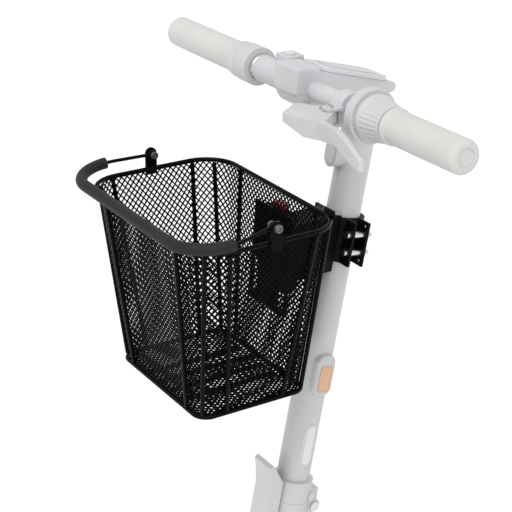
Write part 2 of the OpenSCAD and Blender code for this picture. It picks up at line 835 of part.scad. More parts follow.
// The brake lever's hood and blade: each post is [x, y, low z, high z, diameter]
hood_posts = [
  [91, -28, -12, 2, 15], [66, -50, -8, 5, 12], [70, -67, -9, 0, 9], [98, -60, -19, 1, 9], [111, -52, -20, 0, 8]
];
blade_posts = [
  [111, -52, -20, 0, 8], [138, -50, -18, -3, 8], [152, -50, -24, -8, 8], [165, -50, -30, -15, 7],
  [178, -49, -34, -23, 7]
];

module post(p) translate([p[0], p[1], p[2]]) cylinder(h = p[3] - p[2], d = p[4], $fn = 32);

module brake_lever() {
  ear_d = lever_hub_d + 1 + 2 * gap;
  top = lever_mid_z + lever_hub_h / 2;
  color("gainsboro") on_bar() difference() {
    union() {
      translate([lever_pivot[0], lever_pivot[1], top - lever_hub_h]) cylinder(h = lever_hub_h, d = lever_hub_d);
      hull() for (p = hood_posts) post(p);
      for (i = [0 : len(blade_posts) - 2]) hull() {
        post(blade_posts[i]);
        post(blade_posts[i + 1]);
      }
    }
    translate([lever_pivot[0], lever_pivot[1], lever_mid_z - lever_hub_h])
      cylinder(h = 2 * lever_hub_h, d = lever_bore_d + 2 * run_fit);
    for (z = [top, top - lever_hub_h - 10])
      translate([lever_pivot[0], lever_pivot[1], z]) cylinder(h = 10, d = ear_d + 5);
  }
}

// Route of the brake cable from the lever's perch into the head
bar_r = bar_d / 2;
cable_route = [
  [77, -bar_r - 4, -5], [70, -bar_r - 6, -5], [60, -bar_r - 9, -7], [48, -bar_r - 10, -9], [36, -bar_r - 7, -11],
  [27, -bar_r - 2, -bar_r - 1], [21, -bar_r + 3, -bar_r - 1]
];
cable_d = 5;
cable_sides = 8;

function unit(v) = v / norm(v);
function route_dir(p, i) = unit(p[min(i + 1, len(p) - 1)] - p[max(i - 1, 0)]);
function route_ring(p, i, r, n) =
  let (t = route_dir(p, i), u = unit(cross(t, [0, 0, 1])), v = cross(u, t))
  [for (k = [0 : n - 1]) p[i] + r * (cos(360 * k / n) * u + sin(360 * k / n) * v)];

// Tube swept along a list of points
module swept_tube(p, r, n) {
  rings = [for (i = [0 : len(p) - 1]) each route_ring(p, i, r, n)];
  last = (len(p) - 1) * n;
  sides = [for (i = [0 : len(p) - 2], k = [0 : n - 1])
    [i * n + k, i * n + (k + 1) % n, (i + 1) * n + (k + 1) % n, (i + 1) * n + k]];
  start_cap = [for (k = [n - 1 : -1 : 0]) k];
  end_cap = [for (k = [0 : n - 1]) last + k];
  polyhedron(points = rings, faces = concat(sides, [start_cap, end_cap]), convexity = 4);
}

module brake_cable() color("lightgray") on_bar() swept_tube(cable_route, cable_d / 2, cable_sides);

module bell_body() {
  color("lightgray") on_bar() difference() {
    union() {
      bar_x(bell_x, bell_x + bell_flange, bell_flange_d);
      bar_x(bell_x, left_grip_x - part_gap, hub_d);
    }
    bar_x(0, bar_half, bar_d);
  }
}

module bell_ring() {
  x0 = bell_flange + gap;
  color("linen") on_bar() translate([bell_x, 0, 0]) to_x_axis() rotate_extrude() polygon([
    [hub_d / 2 + run_fit, x0], [bell_d / 2, x0], [bell_d / 2, x0 + 7], [grip_d / 2 + 3, x0 + bell_l - 6],
    [grip_d / 2 + 2, x0 + bell_l], [hub_d / 2 + run_fit, x0 + bell_l]
  ]);
}

// ---- Stem clamp and bracket ----

// One half of the clamp around the stem: side -1 is the front, 1 the rear
module clamp_half(side) {
  on_steer() translate([0, 0, clamp_s]) difference() {
    union() {
      intersection() {
        translate([0, 0, -clamp_h / 2]) cylinder(h = clamp_h, d = 2 * clamp_out);
        translate([-50, side > 0 ? flange_gap / 2 : -50, -50]) cube([100, 50 - flange_gap / 2, 100]);
      }
      for (x = [-1, 1]) translate([x * (clamp_in + flange_out) / 2, side * (flange_gap / 2 + flange_t / 2), 0])
        cube([flange_out - clamp_in, flange_t, clamp_h], center = true);
    }
    translate([0, 0, -clamp_h]) cylinder(h = 2 * clamp_h, d = 2 * clamp_in);
    for (x = [-1, 1], s = [-1, 1]) translate([x * bolt_x, 0, s * bolt_pitch / 2])
      bar_along_y(-50, 50, clamp_bolt_d);
    if (side > 0) for (x = [-1, 1], s = [-1, 1]) translate([x * bolt_x, 0, s * spare_pitch / 2])
      bar_along_y(0, 50, spare_hole_d);
  }
}

module clamp_front() color("black") clamp_half(-1);

module clamp_rear() color("black") clamp_half(1);

module clamp_liner() {
  color("black") on_steer() translate([0, 0, clamp_s - clamp_h / 2]) difference() {
    cylinder(h = clamp_h, d = 2 * clamp_in);
    translate([0, 0, -1]) cylinder(h = clamp_h + 2, d = stem_d);
  }
}

module clamp_fasteners() {
  head_y = -flange_gap / 2 - flange_t;
  nut_y = flange_gap / 2 + flange_t;
  color("silver") on_steer() translate([0, 0, clamp_s])
    for (x = [-1, 1], s = [-1, 1]) translate([x * bolt_x, 0, s * bolt_pitch / 2]) {
      bar_along_y(head_y - 5, head_y, nut_d);
      bar_along_y(head_y, nut_y + 8, clamp_bolt_d);
      bar_along_y(-flange_gap / 2, flange_gap / 2, clamp_bolt_d + 3);
      translate([0, nut_y, 0]) rotate([-90, 0, 0]) cylinder(h = 4, d = nut_d, $fn = 6);
    }
}

module adapter_block() {
  front = plate_back + gap;
  color("black") difference() {
    on_bar() union() {
      translate([-adapter_w / 2, front, tongue_top - adapter_h + 12])
        cube([adapter_w, axis_y(-clamp_drop) - front, adapter_h]);
      translate([-neck_w / 2, plate_back - neck_t - gap, tongue_top - tongue_h])
        cube([neck_w, neck_t + 2 * gap + 1, tongue_h]);
      translate([-tongue_w / 2, plate_back - neck_t - tongue_t - gap, tongue_top - tongue_h])
        cube([tongue_w, tongue_t, tongue_h]);
    }
    on_steer() translate([0, 0, clamp_s - 150]) cylinder(h = 300, d = 2 * clamp_out);
  }
}

// ---- Basket ----

// Outline of the basket's wire centre line at a height between rim (0) and base (1), with an inset
module basket_outline(share, inset) {
  w = rim_w + (base_w - rim_w) * share;
  l = rim_l + (base_l - rim_l) * share;
  r = rim_corner + (base_corner - rim_corner) * share;
  round_rect(w - 2 * inset, l - 2 * inset, r - inset);
}

module basket_frame_at() on_bar() translate([0, rim_y, 0]) children();

module basket_hoops() {
  color("black") basket_frame_at() {
    translate([0, 0, base_z]) wire_loop(base_w, base_l, base_corner, wire_d);
    translate([0, 0, rim_z]) wire_loop(rim_w, rim_l, rim_corner, wire_d);
    translate([rim_w / 2 - 38, rim_l / 2 - 1, rim_z]) cube([18, 2, 9]);
    for (side = [-1, 1]) difference() {
      translate([side * (ear_x + ear_t / 2), 0, 0]) union() {
        translate([0, 0, handle_z]) bar_x(-ear_t / 2, ear_t / 2, ear_w);
        translate([-ear_t / 2, -ear_w / 2, rim_z - ear_low]) cube([ear_t, ear_w, handle_rise + ear_low]);
      }
      translate([0, 0, handle_z]) bar_x(-200, 200, pivot_d);
    }
  }
}

// The ribs' places: top and base point of each, in the quarter x > 0, y > 0
function corner_point(w, l, r, z) = [w / 2 - r + r * cos(45), l / 2 - r + r * sin(45), z];
rib_ends = [
  [corner_point(rim_w, rim_l, rim_corner, rim_z), corner_point(base_w, base_l, base_corner, base_z)],
  [[rib_x_top, rim_l / 2, rim_z], [rib_x_low, base_l / 2, base_z]],
  [[rim_w / 2, rib_y_top, rim_z], [base_w / 2, rib_y_low, base_z]]
];

module basket_ribs() {
  color("black") basket_frame_at() for (x = [-1, 1], y = [-1, 1], ends = rib_ends) {
    flip = [x, y, 1];
    rod([for (i = [0 : 2]) ends[0][i] * flip[i]], [for (i = [0 : 2]) ends[1][i] * flip[i]], wire_d,
      wire_d / 2 + rib_trim);
  }
}

module basket_slab(share, inset, z) {
  translate([0, 0, z]) linear_extrude(0.01) basket_outline(share, inset);
}

module basket_wall() {
  low = 1.2 / basket_h;
  high = 0.6 / basket_h;
  color("black") basket_frame_at() difference() {
    hull() {
      basket_slab(high, mesh_in, rim_z - 0.6, $fn = 48);
      basket_slab(1 - low, mesh_in, base_z + 1.2, $fn = 48);
    }
    hull() {
      basket_slab(high, mesh_in + wall_t, rim_z - 0.6 + 0.02, $fn = 48);
      basket_slab(1 - low, mesh_in + wall_t, base_z + 1.2 - 0.02, $fn = 48);
    }
  }
}

module basket_floor() {
  color("black") basket_frame_at() {
    translate([0, 0, base_z - wall_t / 2]) {
      linear_extrude(wall_t) basket_outline(1, mesh_in);
      linear_extrude(wall_t + floor_step) basket_outline(1, mesh_in + wall_t + floor_step);
    }
    for (i = [-1.5 : 1 : 1.5])
      translate([i * strap_pitch - strap_w / 2, -base_l / 2 + 6, base_z - wall_t / 2 - strap_t])
        cube([strap_w, base_l - 12, strap_t + 0.1]);
  }
}

// The back wall's outer face at height z, in the handlebar's frame
function wall_y(z) = rim_y + (rim_l + (base_l - rim_l) * (rim_z - z) / basket_h) / 2 - mesh_in + part_gap;

module back_plate() {
  low = plate_top - plate_h;
  rail_low = tongue_top - tongue_h - 2;
  pocket_low = plate_top + button_rise - button_h - release_travel - gap;
  color("black") on_bar() difference() {
    union() {
      translate([-plate_w / 2, 0, 0]) rotate([90, 0, 90]) linear_extrude(plate_w) polygon([
        [wall_y(plate_top), plate_top], [wall_y(low), low], [wall_y(low) + plate_t, low],
        [wall_y(plate_top) + plate_t, plate_top]
      ]);
      translate([-rail_w / 2, 0, 0]) rotate([90, 0, 90]) linear_extrude(rail_w) polygon([
        [wall_y(plate_top) + 1, plate_top], [wall_y(rail_low) + 1, rail_low], [plate_back, rail_low],
        [plate_back, plate_top - 4], [plate_back - 4, plate_top]
      ]);
    }
    translate([-tongue_w / 2 - gap, plate_back - neck_t - tongue_t - 2 * gap, low - 1])
      cube([tongue_w + 2 * gap, tongue_t + 2 * gap, tongue_top + gap - low + 1]);
    translate([-neck_w / 2 - gap, plate_back - neck_t - 2 * gap, low - 1])
      cube([neck_w + 2 * gap, neck_t + 10, tongue_top + gap - low + 1]);
    translate([-button_w / 2 - gap, plate_back - button_t - 2 - gap, pocket_low])
      cube([button_w + 2 * gap, button_t + 2 * gap, button_h + 20]);
    for (x = [-1, 1]) translate([x * window_x - window_w / 2, plate_back - 60, low + 8])
      cube([window_w, 100, window_h]);
  }
}

module release_button() {
  color("red") on_bar() translate([0, plate_back - button_t / 2 - 2, plate_top + button_rise - button_h])
    linear_extrude(button_h) round_rect(button_w, button_t, 2);
}

module pivot_bolts() {
  color("silver") basket_frame_at() for (side = [-1, 1]) mirror([side < 0 ? 1 : 0, 0, 0])
    translate([0, 0, handle_z]) {
      bar_x(eye_x - eye_w / 2 - 2, ear_x + ear_t, pivot_d);
      bar_x(ear_x + ear_t, ear_x + ear_t + 3, 2 * pivot_d + 1.5);
      bar_x(eye_x - eye_w / 2 - 5, eye_x - eye_w / 2 - 1, 2 * pivot_d);
    }
}

// ---- Carrying handle ----

// The handle's bends: their centre, and where each one starts on its splayed arm
bend_y = -(handle_reach - handle_corner);
arm_y = bend_y + handle_corner * sin(handle_splay);
arm_x = eye_x - arm_y * tan(handle_splay);
bend_x = arm_x - handle_corner * cos(handle_splay);

// The handle's run from one bend to the other, each bend turning through an angle
module handle_run(d, sweep) {
  for (side = [0, 1]) mirror([side, 0, 0]) translate([bend_x, bend_y, 0])
    rotate([0, 0, -90]) rotate_extrude(angle = sweep) translate([handle_corner, 0]) circle(d = d);
  translate([0, -handle_reach, 0]) bar_x(-bend_x, bend_x, d);
}

// Straight stretch of one arm, from its bend towards its pivot
module handle_arm(len, d) {
  translate([arm_x, arm_y, 0]) rotate([0, 0, handle_splay]) bar_along_y(0, len, d);
}

module handle_wire() {
  arm_l = -arm_y / cos(handle_splay) - pivot_d / 2 - 2.4;
  color("black") on_handle() {
    handle_run(handle_d, 90 + handle_splay);
    for (side = [0, 1]) mirror([side, 0, 0]) {
      difference() {
        handle_arm(arm_l, handle_d);
        bar_x(ear_x - 0.6, ear_x + 10, ear_w + 1);
      }
      translate([eye_x, 0, 0]) difference() {
        bar_x(-eye_w / 2 - 0.3, eye_w / 2 + 0.3, pivot_d + 6);
        bar_x(-eye_w, eye_w, pivot_d + 2 * run_fit);
      }
    }
  }
}

module handle_grip() {
  color("darkslategray") on_handle() difference() {
    handle_run(foam_d, 90);
    handle_run(handle_d, 92);
  }
}

deck_frame();
deck_cover();
deck_mat();
battery_pack();
controller();
headset_bearings();
rear_fender();
tail_light();
rear_dropouts();
rear_axle();
deck_screws();
charge_port();
kickstand_bracket();
kickstand_leg();
rear_tyre();
motor_hub();
fork();
front_fender();
front_axle();
fold_base();
fold_pin();
front_tyre();
front_rim();
front_bearings();
stem_foot();
stem_tube();
head_housing();
dash_cover();
dash_screen();
handlebar_tube();
left_grip();
right_grip();
headlight_housing();
headlight_lens();
side_reflectors();
label_plates();
throttle_housing();
switch_box();
brake_perch();
brake_cable();
bell_body();
clamp_front();
clamp_rear();
clamp_liner();
clamp_fasteners();
adapter_block();
fold_lever();
brake_lever();
bell_ring();
throttle_paddle();
power_button();
basket_hoops();
basket_ribs();
basket_wall();
basket_floor();
back_plate();
pivot_bolts();
release_button();
handle_wire();
handle_grip();
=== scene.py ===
# %% [markdown]
# # Electric kick scooter with a lift-off wire basket
# The scooter is an assembly: deck, folding stem, handlebar with its controls, and a basket clamped to the
# stem. The solid parts arrive as a fixed frame, and every cell adds a finish or a finer piece to that frame.

# %% Load the frame
import bpy
import bmesh
import json
import math
from mathutils import Matrix, Vector


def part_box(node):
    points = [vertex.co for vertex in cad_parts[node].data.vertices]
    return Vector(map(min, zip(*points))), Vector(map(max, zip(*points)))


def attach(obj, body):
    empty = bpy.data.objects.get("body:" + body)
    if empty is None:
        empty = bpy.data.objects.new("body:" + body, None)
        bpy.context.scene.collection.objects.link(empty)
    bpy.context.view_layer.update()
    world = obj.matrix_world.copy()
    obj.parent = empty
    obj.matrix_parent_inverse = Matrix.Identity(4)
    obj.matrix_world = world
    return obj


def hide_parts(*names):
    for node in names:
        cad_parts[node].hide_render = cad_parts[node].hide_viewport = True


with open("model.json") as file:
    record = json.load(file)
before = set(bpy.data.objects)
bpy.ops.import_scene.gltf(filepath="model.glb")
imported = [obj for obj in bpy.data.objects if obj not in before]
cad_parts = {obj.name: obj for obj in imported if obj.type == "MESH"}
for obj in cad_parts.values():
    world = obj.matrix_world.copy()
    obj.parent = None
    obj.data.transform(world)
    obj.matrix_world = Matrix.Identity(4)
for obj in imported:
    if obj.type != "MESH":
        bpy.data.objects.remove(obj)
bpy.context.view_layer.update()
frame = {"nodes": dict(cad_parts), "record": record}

scene = bpy.context.scene
print("parts in the frame:", len(frame["nodes"]))

# %% [markdown]
# Measures first. The handlebar's middle and the steering axis are the two places from which a scooter is
# laid out, so the helpers give points from the handlebar and along the leaning steering axis, in millimetres.

# %% Where things are
MM = 0.001
BAR = Vector((0, -0.310287, 0.900))
STEER_Y = -0.403576
RAKE = math.radians(11.34)
LEAN_BACK = Vector((0, math.sin(RAKE), math.cos(RAKE)))
ACROSS = Vector((0, math.cos(RAKE), -math.sin(RAKE)))
BASKET = BAR + Vector((0, -0.119798, 0))
RIM_Z, BASE_Z = 0.7885, 0.5845
FRONT_HUB = sum(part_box("front_tyre"), Vector()) / 2
REAR_HUB = sum(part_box("rear_tyre"), Vector()) / 2


def from_bar(x, y, z):
    return BAR + Vector((x, y, z)) * MM


def on_steer(x, n, s):
    return Vector((x * MM, STEER_Y, 0)) + ACROSS * n * MM + LEAN_BACK * s * MM


print("front hub", [round(v, 4) for v in FRONT_HUB], "basket", [round(v, 4) for v in BASKET])

# %% [markdown]
# A camera stands where a person would, a step away on the scooter's left front, looking down a little with a
# long lens. A long lens keeps the handlebar's two ends nearly the same size.

# %% Camera
LENS, SENSOR_WIDTH, FAR_CLIP = 106.64, 36, 100
CAMERA_FROM_BAR = Vector((1.3272, -0.8768, 0.4747))
turn, height, tilt = math.radians(58.44), math.radians(23.01), math.radians(-0.14)
back = Vector((math.sin(turn) * math.cos(height), -math.cos(turn) * math.cos(height), math.sin(height)))
right = Vector((math.cos(turn), math.sin(turn), 0))
up = back.cross(right)
tilted_right = right * math.cos(tilt) + up * math.sin(tilt)
tilted_up = up * math.cos(tilt) - right * math.sin(tilt)
camera = bpy.data.objects.new("camera", bpy.data.cameras.new("camera"))
scene.collection.objects.link(camera)
scene.camera = camera
camera.data.lens = LENS
camera.data.sensor_width = SENSOR_WIDTH
camera.data.clip_end = FAR_CLIP
stand = Matrix((tilted_right, tilted_up, back)).transposed().to_4x4()
stand.translation = BAR + CAMERA_FROM_BAR
camera.matrix_world = stand
print("camera at", [round(v, 3) for v in stand.translation])

# %% [markdown]
# The studio is a big pale floor under an even white sky, with one very soft sun from the left front above.
# The sky fills every shadow, so the pale plastic keeps its light greys, and the sun alone gives the shapes
# their lit tops and darker undersides.

# %% Floor and light
SKY_STRENGTH, SUN_STRENGTH, SUN_SOFTNESS, FLOOR_HALF = 0.82, 1.45, math.radians(50), 25
scene.view_settings.view_transform = "Standard"
sky = bpy.data.worlds.new("sky")
scene.world = sky
sky.use_nodes = True
sky.node_tree.nodes["Background"].inputs["Color"].default_value = (1, 1, 1, 1)
sky.node_tree.nodes["Background"].inputs["Strength"].default_value = SKY_STRENGTH

sun = bpy.data.objects.new("soft_sun", bpy.data.lights.new("soft_sun", "SUN"))
sun.data.energy = SUN_STRENGTH
sun.data.angle = SUN_SOFTNESS
sun.rotation_euler = (math.radians(28), math.radians(24), 0)
scene.collection.objects.link(sun)

ground = bmesh.new()
bmesh.ops.create_grid(ground, x_segments=8, y_segments=8, size=FLOOR_HALF)
floor_mesh = bpy.data.meshes.new("studio_floor")
ground.to_mesh(floor_mesh)
ground.free()
floor = bpy.data.objects.new("studio_floor", floor_mesh)
scene.collection.objects.link(floor)
print("sun strength", sun.data.energy)

# %% [markdown]
# Every finish is one recipe with its own numbers: a base colour that drifts a little from place to place, a
# roughness that drifts with it, and a fine grain pressed into the surface as bump. Moulded plastic, paint,
# rubber and foam differ in the size and depth of that grain. The patterns read Object coordinates, so they sit
# still on the part.

# %% Recipe for a finish
def finish(name, colour, rough, drift=0.05, patch=18.0, grain=2200.0, depth=0.00006, bump=0.35, metal=0.0,
           shine=0.5, stretch=(1, 1, 1), cells=False, coat=0.0, clear=0.0, rough_drift=0.06, wear=0.0):
    mat = bpy.data.materials.new(name)
    mat.use_nodes = True
    tree = mat.node_tree
    shader = tree.nodes["Principled BSDF"]
    shader.inputs["Metallic"].default_value = metal
    shader.inputs["Specular IOR Level"].default_value = shine
    shader.inputs["Coat Weight"].default_value = coat
    shader.inputs["Coat Roughness"].default_value = 0.12
    shader.inputs["Transmission Weight"].default_value = clear
    place = tree.nodes.new("ShaderNodeTexCoord")
    turned = tree.nodes.new("ShaderNodeMapping")
    turned.inputs["Scale"].default_value = stretch
    tree.links.new(place.outputs["Object"], turned.inputs["Vector"])
    clouds = tree.nodes.new("ShaderNodeTexNoise")
    clouds.inputs["Scale"].default_value = patch
    clouds.inputs["Detail"].default_value = 6
    tree.links.new(turned.outputs["Vector"], clouds.inputs["Vector"])
    tint = tree.nodes.new("ShaderNodeValToRGB")
    tint.color_ramp.elements[0].position = 0.3
    tint.color_ramp.elements[1].position = 0.7
    tint.color_ramp.elements[0].color = [c * (1 - drift) for c in colour] + [1]
    tint.color_ramp.elements[1].color = [min(1, c * (1 + drift)) for c in colour] + [1]
    tree.links.new(clouds.outputs["Fac"], tint.inputs["Fac"])
    tree.links.new(tint.outputs["Color"], shader.inputs["Base Color"])
    gloss = tree.nodes.new("ShaderNodeMapRange")
    gloss.inputs["To Min"].default_value = max(0.02, rough - rough_drift)
    gloss.inputs["To Max"].default_value = min(1.0, rough + rough_drift)
    tree.links.new(clouds.outputs["Fac"], gloss.inputs["Value"])
    tree.links.new(gloss.outputs["Result"], shader.inputs["Roughness"])
    if cells:
        fine = tree.nodes.new("ShaderNodeTexVoronoi")
        height_out = fine.outputs["Distance"]
    else:
        fine = tree.nodes.new("ShaderNodeTexNoise")
        fine.inputs["Detail"].default_value = 3
        height_out = fine.outputs["Fac"]
    fine.inputs["Scale"].default_value = grain
    tree.links.new(turned.outputs["Vector"], fine.inputs["Vector"])
    press = tree.nodes.new("ShaderNodeBump")
    press.inputs["Strength"].default_value = bump
    press.inputs["Distance"].default_value = depth
    tree.links.new(height_out, press.inputs["Height"])
    tree.links.new(press.outputs["Normal"], shader.inputs["Normal"])
    return mat


floor.data.materials.append(finish("studio_floor", (0.93, 0.93, 0.93), 0.9, drift=0.01, patch=2.0, grain=300,
                                   depth=0.0002, bump=0.1, shine=0.1))
print("recipe ready")

# %% [markdown]
# One finish for each kind of surface. The frame is powder-coated aluminium, with the slight orange peel that
# powder has; the plastics carry a spark-eroded grain; the black wire is semi-gloss powder; the foam has open
# cells; the reflectors' backs are full of small prisms.

# %% All the finishes
finishes = {
    "frame_paint": finish("frame_paint", (0.545, 0.548, 0.556), 0.38, grain=900, depth=0.00012, bump=0.22,
                          coat=0.15),
    "light_paint": finish("light_paint", (0.550, 0.555, 0.570), 0.36, grain=900, depth=0.00012, bump=0.2,
                          coat=0.15),
    "head_plastic": finish("head_plastic", (0.545, 0.550, 0.566), 0.48, grain=2600, bump=0.3),
    "dash_plastic": finish("dash_plastic", (0.600, 0.605, 0.622), 0.42, grain=2600, bump=0.22),
    "screen": finish("screen", (0.42, 0.43, 0.45), 0.26, drift=0.03, patch=9, grain=400, bump=0.03,
                     coat=0.12),
    "mat_rubber": finish("mat_rubber", (0.30, 0.30, 0.305), 0.78, grain=1500, depth=0.0002, bump=0.5),
    "battery_case": finish("battery_case", (0.05, 0.13, 0.28), 0.3, grain=260, depth=0.0004, bump=0.3),
    "controller_case": finish("controller_case", (0.60, 0.60, 0.62), 0.42, metal=0.9, grain=800, bump=0.4),
    "bright_steel": finish("bright_steel", (0.68, 0.68, 0.68), 0.26, metal=1.0, grain=700, bump=0.12,
                           stretch=(1, 1, 6)),
    "tail_lens": finish("tail_lens", (0.42, 0.02, 0.02), 0.16, cells=True, grain=420, depth=0.0005, bump=0.5,
                        coat=0.7),
    "port_rubber": finish("port_rubber", (0.20, 0.20, 0.205), 0.8, grain=1600, bump=0.4),
    "tyre": finish("tyre", (0.15, 0.15, 0.155), 0.82, patch=30, grain=1300, depth=0.0002, bump=0.5),
    "grip_rubber": finish("grip_rubber", (0.585, 0.580, 0.566), 0.66, drift=0.03, grain=1700, depth=0.00012,
                          bump=0.4),
    "bell_plastic": finish("bell_plastic", (0.560, 0.554, 0.542), 0.55, grain=2200, bump=0.3),
    "lever_paint": finish("lever_paint", (0.53, 0.53, 0.535), 0.34, grain=900, depth=0.0001, bump=0.2,
                          coat=0.2),
    "cable_sheath": finish("cable_sheath", (0.40, 0.40, 0.405), 0.42, grain=1500, bump=0.15),
    "clear_lens": finish("clear_lens", (0.80, 0.83, 0.86), 0.08, drift=0.02, cells=True, grain=330,
                         depth=0.0008, bump=0.6, coat=0.6, clear=0.35),
    "amber_lens": finish("amber_lens", (0.66, 0.40, 0.25), 0.20, drift=0.04, cells=True, grain=520,
                         depth=0.0004, bump=0.4, coat=0.5),
    "label": finish("label", (0.700, 0.705, 0.712), 0.38, drift=0.02, grain=1800, bump=0.08),
    "bracket_plastic": finish("bracket_plastic", (0.004, 0.004, 0.0045), 0.40, grain=2400, bump=0.35,
                              shine=0.08),
    "liner_rubber": finish("liner_rubber", (0.014, 0.014, 0.014), 0.8, grain=1600, bump=0.4, shine=0.2),
    "button_plastic": finish("button_plastic", (0.62, 0.62, 0.635), 0.3, grain=2000, bump=0.1, coat=0.3),
    "red_plastic": finish("red_plastic", (0.46, 0.012, 0.012), 0.3, grain=2200, bump=0.12, coat=0.3),
    "black_wire": finish("black_wire", (0.002, 0.002, 0.0025), 0.24, grain=900, depth=0.0001, bump=0.2,
                         shine=0.07),
    "black_mesh": finish("black_mesh", (0.0015, 0.0015, 0.002), 0.34, grain=1200, depth=0.0001, bump=0.2,
                         shine=0.03),
    "foam": finish("foam", (0.012, 0.0115, 0.011), 0.62, cells=True, grain=900, depth=0.0004, bump=0.5,
                   shine=0.3),
}
for row in frame["record"]["subparts"]:
    node = frame["nodes"][row["node"]]
    node.data.materials.clear()
    node.data.materials.append(finishes[row["material_slot"]])
print("finishes:", len(finishes))

# %% [markdown]
# Real parts have no knife edges: castings, mouldings and folded sheet all end in a small round that catches
# the light. The frame's solids are loose triangles, so each gets a chain of modifiers that joins them, merges
# flat faces back into one, rounds the sharp edges and weights the normals by face size.

# %% Round the edges of the solid parts
def soften(name, width, steps=2):
    part = frame["nodes"][name]
    join = part.modifiers.new("join_triangles", "WELD")
    join.merge_threshold = 0.000004
    flat = part.modifiers.new("merge_flat_faces", "DECIMATE")
    flat.decimate_type = "DISSOLVE"
    flat.angle_limit = math.radians(0.5)
    edge = part.modifiers.new("round_edges", "BEVEL")
    edge.width = width * MM
    edge.segments = steps
    edge.limit_method = "ANGLE"
    edge.angle_limit = math.radians(38)
    edge.use_clamp_overlap = True
    edge.miter_outer = "MITER_ARC"
    even = part.modifiers.new("even_shading", "WEIGHTED_NORMAL")
    even.weight = 60


rounds = {
    "head_housing": 1.6, "dash_cover": 1.0, "switch_box": 1.2, "brake_lever": 1.6, "brake_perch": 0.9,
    "throttle_paddle": 1.2, "throttle_housing": 1.0, "headlight_housing": 1.0, "clamp_front": 0.7,
    "clamp_rear": 0.7, "adapter_block": 0.8, "back_plate": 1.0, "release_button": 0.8, "fold_base": 1.0,
    "stem_foot": 1.0, "fold_lever": 1.2, "fork": 1.5, "deck_cover": 0.6, "kickstand_bracket": 0.8,
    "rear_dropouts": 0.8, "bell_body": 0.8, "label_plates": 0.3, "side_reflectors": 0.8,
}
for name, width in rounds.items():
    soften(name, width)
print("softened parts:", len(rounds))

# %% [markdown]
# Helpers for new pieces. `new_piece` turns a finished bmesh into an object whose place is in its mesh, gives
# it a finish and lets it ride on a body. `lathe` spins an outline about the X axis, as a lathe would, because
# grips, bells, hubs and tyres are all turned shapes. The short ones round off edges, cut a mesh with a plane,
# bring millimetres to metres and give a flat net its gauge.

# %% Making pieces
def new_piece(name, bm, body, finish_name, replaces=(), sharp=40.0):
    mesh = bpy.data.meshes.new(name)
    bm.to_mesh(mesh)
    bm.free()
    for face in mesh.polygons:
        face.use_smooth = True
    mesh.set_sharp_from_angle(angle=math.radians(sharp))
    mesh.materials.append(finishes[finish_name])
    piece = bpy.data.objects.new(name, mesh)
    scene.collection.objects.link(piece)
    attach(piece, body)
    if replaces:
        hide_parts(*replaces)
    print(name, len(mesh.polygons), "faces")
    return piece


def lathe(outline, centre, steps=96):
    bm = bmesh.new()
    points = [bm.verts.new((x * MM, 0, r * MM)) for x, r in outline]
    for first, second in zip(points, points[1:] + points[:1]):
        bm.edges.new((first, second))
    bmesh.ops.spin(bm, geom=bm.verts[:] + bm.edges[:], cent=(0, 0, 0), axis=(1, 0, 0),
                   angle=math.tau, steps=steps, use_merge=True)
    bmesh.ops.remove_doubles(bm, verts=bm.verts[:], dist=1e-6)
    bmesh.ops.recalc_face_normals(bm, faces=bm.faces[:])
    bmesh.ops.translate(bm, verts=bm.verts[:], vec=centre)
    return bm


def bevel_edges(bm, edges, offset, steps):
    bmesh.ops.bevel(bm, geom=edges, offset=offset, segments=steps, profile=0.5, affect="EDGES", material=-1)


def cut_away(bm, point, normal):
    bmesh.ops.bisect_plane(bm, geom=bm.verts[:] + bm.edges[:] + bm.faces[:], dist=1e-4, plane_co=point,
                           plane_no=normal, clear_outer=True)


def to_metres(bm):
    bmesh.ops.scale(bm, verts=bm.verts[:], vec=(MM, MM, MM))


def thicken(piece, modifier_name, thickness):
    gauge = piece.modifiers.new(modifier_name, "SOLIDIFY")
    gauge.thickness = thickness * MM
    gauge.offset = 0


# %% [markdown]
# The basket's wall is expanded metal: a sheet is slit and pulled open into a net of diamonds, then cut into
# four panels and folded round the wires. A grid turned by 45 degrees and stretched is already that net, so
# each panel is a turned grid, cut to the wall's tapering outline with bisect planes, and each cell is inset
# and its middle removed, which leaves the strands. The panel is then bent: flat across the wall, and round
# the corner's arc at each end.

# %% The net
PITCH_W, PITCH_H, STRAND = 7.0, 8.0, 1.6
SLIVER, SMALLEST_CELL = 0.2, 7.0
CORNER_TOP, CORNER_LOW, NET_INSET = 40.0, 16.0, 3.4
NET_HEIGHT, NET_RISE, WALL_GAUGE = 201.8, 1.2, 1.0


def flat_net(half_low, half_high, height):
    bm = bmesh.new()
    reach = math.hypot(2 * half_high + 30, height + 30)
    cells = int(reach / PITCH_W) + 8
    bmesh.ops.create_grid(bm, x_segments=cells, y_segments=cells, size=cells / 2)
    bmesh.ops.rotate(bm, verts=bm.verts[:], cent=(0, 0, 0), matrix=Matrix.Rotation(math.radians(45), 3, "Z"))
    side = math.sqrt(2)
    bmesh.ops.scale(bm, verts=bm.verts[:], vec=(PITCH_W / side, PITCH_H / side, 1))
    bmesh.ops.translate(bm, verts=bm.verts[:], vec=(0, height / 2, 0))
    slope = Vector((half_high - half_low, height, 0)).normalized()
    outward = Vector((slope.y, -slope.x, 0))
    cuts = [((0, 0, 0), (0, -1, 0)), ((0, height, 0), (0, 1, 0)), ((half_low, 0, 0), outward),
            ((-half_low, 0, 0), Vector((-outward.x, outward.y, 0)))]
    for point, normal in cuts:
        cut_away(bm, point, normal)
    bmesh.ops.dissolve_degenerate(bm, edges=bm.edges[:], dist=SLIVER)
    whole = [face for face in bm.faces if face.calc_area() >= SMALLEST_CELL]
    bmesh.ops.inset_individual(bm, faces=whole, thickness=STRAND / 2, use_even_offset=True)
    bmesh.ops.delete(bm, geom=whole, context="FACES_ONLY")
    return bm


